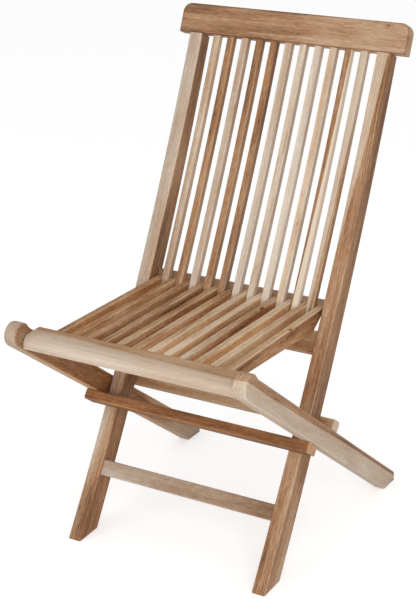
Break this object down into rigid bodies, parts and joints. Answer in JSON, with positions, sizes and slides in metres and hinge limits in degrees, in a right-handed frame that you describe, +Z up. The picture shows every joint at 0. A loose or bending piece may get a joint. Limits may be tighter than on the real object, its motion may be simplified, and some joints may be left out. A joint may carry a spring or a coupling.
{
  "type": "folding slatted chair",
  "caption": "Folding wooden garden chair with a curved slatted back, a slatted seat and crossed legs; the seat rises against the back as it folds flat.",
  "frame": {"origin": "on the floor, under the middle of the open chair's outline", "axes": "+Z up, -Y towards the front where the sitter's feet are, +X to the right as seen from the front"},
  "size_m": [0.46, 0.6292, 0.8847],
  "materials": {
    "teak_post": "bare sanded teak, matt",
    "teak_crest": "bare sanded teak, matt",
    "teak_back_slat": "bare sanded teak, matt",
    "teak_seat_slat": "bare sanded teak, matt",
    "teak_leg": "bare sanded teak, matt",
    "teak_rail": "bare sanded teak, matt",
    "steel": "plain pin steel"
  },
  "bodies": {
    "back_frame": {"post_left": "teak_post", "post_right": "teak_post", "crest_rail": "teak_crest", "back_slat_01": "teak_back_slat", "back_slat_02": "teak_back_slat", "back_slat_03": "teak_back_slat", "back_slat_04": "teak_back_slat", "back_slat_05": "teak_back_slat", "back_slat_06": "teak_back_slat", "back_slat_07": "teak_back_slat", "back_slat_08": "teak_back_slat", "back_slat_09": "teak_back_slat", "back_slat_10": "teak_back_slat", "back_slat_11": "teak_back_slat", "lower_back_rail": "teak_rail", "front_stretcher": "teak_rail", "cross_pin_left": "steel", "cross_pin_right": "steel", "cross_washer_left": "steel", "cross_washer_right": "steel"},
    "rear_legs": {"rear_leg_left": "teak_leg", "rear_leg_right": "teak_leg", "front_stop_rail": "teak_rail", "rear_stop_rail": "teak_rail", "seat_pin_left": "steel", "seat_pin_right": "steel"},
    "seat": {"seat_front_rail": "teak_rail", "seat_slat_01": "teak_seat_slat", "seat_slat_02": "teak_seat_slat", "seat_slat_03": "teak_seat_slat", "seat_slat_04": "teak_seat_slat", "seat_slat_05": "teak_seat_slat", "seat_slat_06": "teak_seat_slat", "seat_slat_07": "teak_seat_slat", "seat_slat_08": "teak_seat_slat", "seat_slat_09": "teak_seat_slat", "seat_slat_10": "teak_seat_slat", "seat_slat_11": "teak_seat_slat", "seat_slat_12": "teak_seat_slat"},
    "rear_rail": {"seat_rear_rail": "teak_rail"}
  },
  "joints": [
    {"name": "leg_fold", "type": "hinge", "parent": "back_frame", "child": "rear_legs", "pos_m": [0, -0.03205, 0.23105], "axis": [-1, 0, 0], "range_deg": [0, 65]},
    {"name": "seat_pivot", "type": "hinge", "parent": "rear_legs", "child": "seat", "pos_m": [0, -0.28237, 0.42433], "axis": [1, 0, 0], "range_deg": [0, 113.35]},
    {"name": "seat_rail_slide", "type": "slide", "parent": "back_frame", "child": "rear_rail", "axis": [0, 0.4657, 0.885], "range_m": [0, 0.45815]}
  ],
  "couplings": [
    {"joint": "seat_pivot", "follows": "leg_fold", "ratio": 1.7438},
    {"joint": "seat_rail_slide", "follows": "leg_fold", "m_per_rad": 0.40385}
  ]
}
